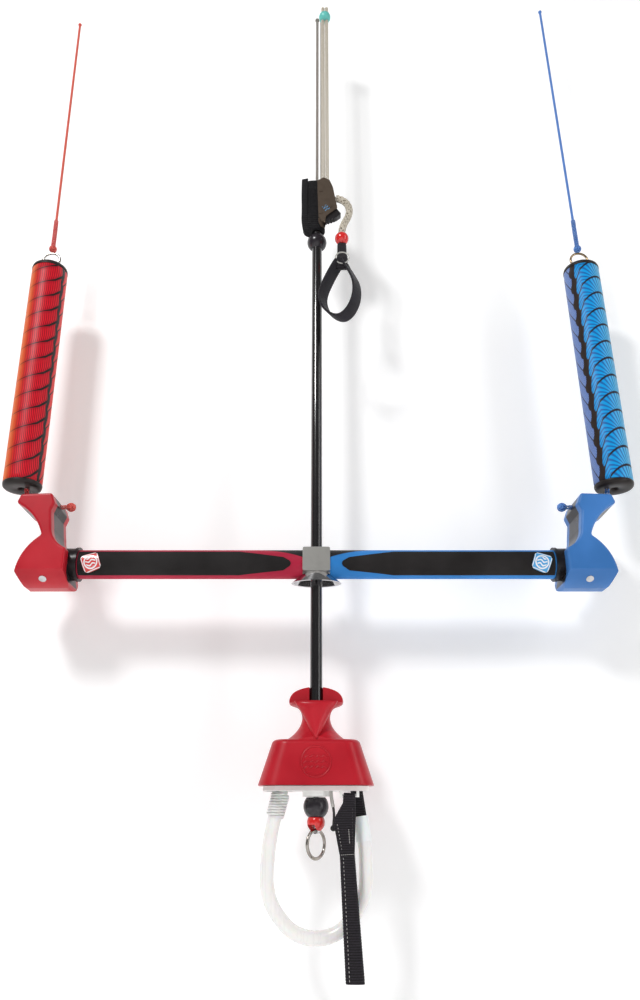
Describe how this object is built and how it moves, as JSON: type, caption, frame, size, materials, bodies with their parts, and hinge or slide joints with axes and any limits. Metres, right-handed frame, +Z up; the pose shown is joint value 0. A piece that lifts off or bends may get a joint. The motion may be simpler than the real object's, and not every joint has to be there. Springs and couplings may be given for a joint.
{
  "type": "kitesurf control bar",
  "caption": "Kite control bar with padded grips, line floats, sliding on a depower tube between a trim cleat and a push-away release with hook loop.",
  "frame": {"origin": "upper end of the front line, where the kite holds the set up", "axes": "+Z up along the lines towards the kite, +X along the bar towards the blue end, +Y away from the viewer of the labelled side"},
  "size_m": [0.5689, 0.0525, 0.9891],
  "materials": {
    "black_pu": "glossy black polyurethane tube",
    "line_core": "braided polyethylene core line",
    "black_plastic": "satin black moulded nylon",
    "neoprene": "black neoprene with hook and loop",
    "grey_line": "grey braided line",
    "cream_rope": "white braided rope",
    "turquoise": "turquoise bead",
    "cleat_metal": "dark anodised plate",
    "steel": "stainless steel",
    "chrome_steel": "polished stainless steel",
    "hub_silver": "satin aluminium",
    "white_plastic": "white moulded plastic",
    "white_loop": "milky white polyurethane tube",
    "red_plastic": "satin red moulded nylon",
    "red_bead": "glossy red bead",
    "blue_plastic": "satin blue moulded nylon",
    "webbing": "black woven webbing",
    "clear_ring": "milky keeper ring",
    "red_grip": "red foam grip",
    "blue_grip": "blue foam grip",
    "grip_black": "black textured grip",
    "badge": "printed badge",
    "aluminium": "drawn tube",
    "red_float": "printed red foam",
    "blue_float": "printed blue foam",
    "float_black": "black foam cap",
    "red_line": "red braided line",
    "blue_line": "blue braided line",
    "black_line": "black braided line",
    "iron_ball": "glossy black ball"
  },
  "bodies": {
    "spine": {"depower_tube": "black_pu", "core_line": "line_core", "stopper_ball": "black_plastic", "neoprene_sleeve": "neoprene", "front_line": "grey_line", "safety_front_line": "grey_line", "trim_rope": "cream_rope", "trim_top_bead": "turquoise", "cleat_cheeks": "cleat_metal", "cleat_pins": "steel", "release_core": "black_plastic", "release_pins": "steel", "return_spring": "steel", "base_plate": "white_plastic", "stick_pin": "steel", "safety_line": "black_line"},
    "release_handle": {"handle_shell": "red_plastic"},
    "chicken_loop": {"loop_tube": "white_loop", "loop_rib_sleeve": "white_plastic", "loop_end_sleeve": "white_plastic", "loop_webbing": "webbing"},
    "leash_swivel": {"swivel_ball": "iron_ball", "stop_bead": "red_bead", "swivel_stem": "steel"},
    "leash_ring": {"leash_ring": "chrome_steel"},
    "safety_stick": {"stick_webbing": "webbing", "stick_sleeve": "webbing", "stick_core": "white_plastic"},
    "trim_pull": {"trim_tail": "cream_rope", "trim_bead": "red_bead", "trim_strap": "webbing", "trim_keeper_ring": "clear_ring"},
    "cleat_jaw": {"cleat_jaw": "black_plastic"},
    "centre_bush": {"centre_bush": "white_plastic"},
    "bar": {"hub_block": "hub_silver", "hub_mouth": "chrome_steel", "grip_left": "red_grip", "grip_right": "blue_grip", "grip_pads": "grip_black", "grip_badges": "badge", "bar_spars": "aluminium", "cheek_front_left": "red_plastic", "cheek_rear_left": "red_plastic", "end_core_left": "black_plastic", "leader_knot_left": "red_line", "cheek_front_right": "blue_plastic", "cheek_rear_right": "blue_plastic", "end_core_right": "black_plastic", "leader_knot_right": "blue_line", "end_screws": "steel"},
    "left_float": {"float_left": "red_float", "float_caps_left": "float_black", "leader_left": "red_line", "line_ring_left": "steel", "flying_line_left": "red_line"},
    "right_float": {"float_right": "blue_float", "float_caps_right": "float_black", "leader_right": "blue_line", "line_ring_right": "steel", "flying_line_right": "blue_line"}
  },
  "joints": [
    {"name": "bar_slide", "type": "slide", "parent": "spine", "child": "centre_bush", "axis": [0, 0, 1], "range_m": [-0.058, 0.312]},
    {"name": "bar_tilt", "type": "hinge", "parent": "centre_bush", "child": "bar", "pos_m": [0, 0, -0.661], "axis": [0, 1, 0], "range_deg": [-25, 25]},
    {"name": "left_float_swing", "type": "hinge", "parent": "bar", "child": "left_float", "pos_m": [-0.256, 0, -0.612], "axis": [0, 1, 0], "range_deg": [-25, 25]},
    {"name": "right_float_swing", "type": "hinge", "parent": "bar", "child": "right_float", "pos_m": [0.256, 0, -0.612], "axis": [0, 1, 0], "range_deg": [-25, 25]},
    {"name": "release_push", "type": "slide", "parent": "spine", "child": "release_handle", "axis": [0, 0, 1], "range_m": [0, 0.016], "stiffness_N_per_m": 500, "springref_m": -0.004},
    {"name": "loop_open", "type": "hinge", "parent": "spine", "child": "chicken_loop", "pos_m": [-0.0265, 0, -0.8475], "axis": [0, 1, 0], "range_deg": [0, 24]},
    {"name": "leash_swivel_turn", "type": "hinge", "parent": "spine", "child": "leash_swivel", "pos_m": [0, 0, -0.86], "axis": [0, 0, 1], "continuous": true},
    {"name": "leash_ring_swing", "type": "hinge", "parent": "leash_swivel", "child": "leash_ring", "pos_m": [0, 0, -0.8768], "axis": [0.6428, 0.766, 0], "range_deg": [-45, 45]},
    {"name": "stick_swing", "type": "hinge", "parent": "spine", "child": "safety_stick", "pos_m": [0.0254, -0.014, -0.8525], "axis": [-1, 0, 0], "range_deg": [0, 75]},
    {"name": "trim_pull_swing", "type": "hinge", "parent": "spine", "child": "trim_pull", "pos_m": [0.02, -0.0132, -0.278], "axis": [-1, 0, 0], "range_deg": [0, 70]},
    {"name": "cleat_jaw_turn", "type": "hinge", "parent": "spine", "child": "cleat_jaw", "pos_m": [0.013, -0.01325, -0.292], "axis": [0, 1, 0], "range_deg": [0, 12]}
  ],
  "couplings": [
    {"joint": "left_float_swing", "follows": "bar_tilt", "ratio": -1},
    {"joint": "right_float_swing", "follows": "bar_tilt", "ratio": -1}
  ]
}
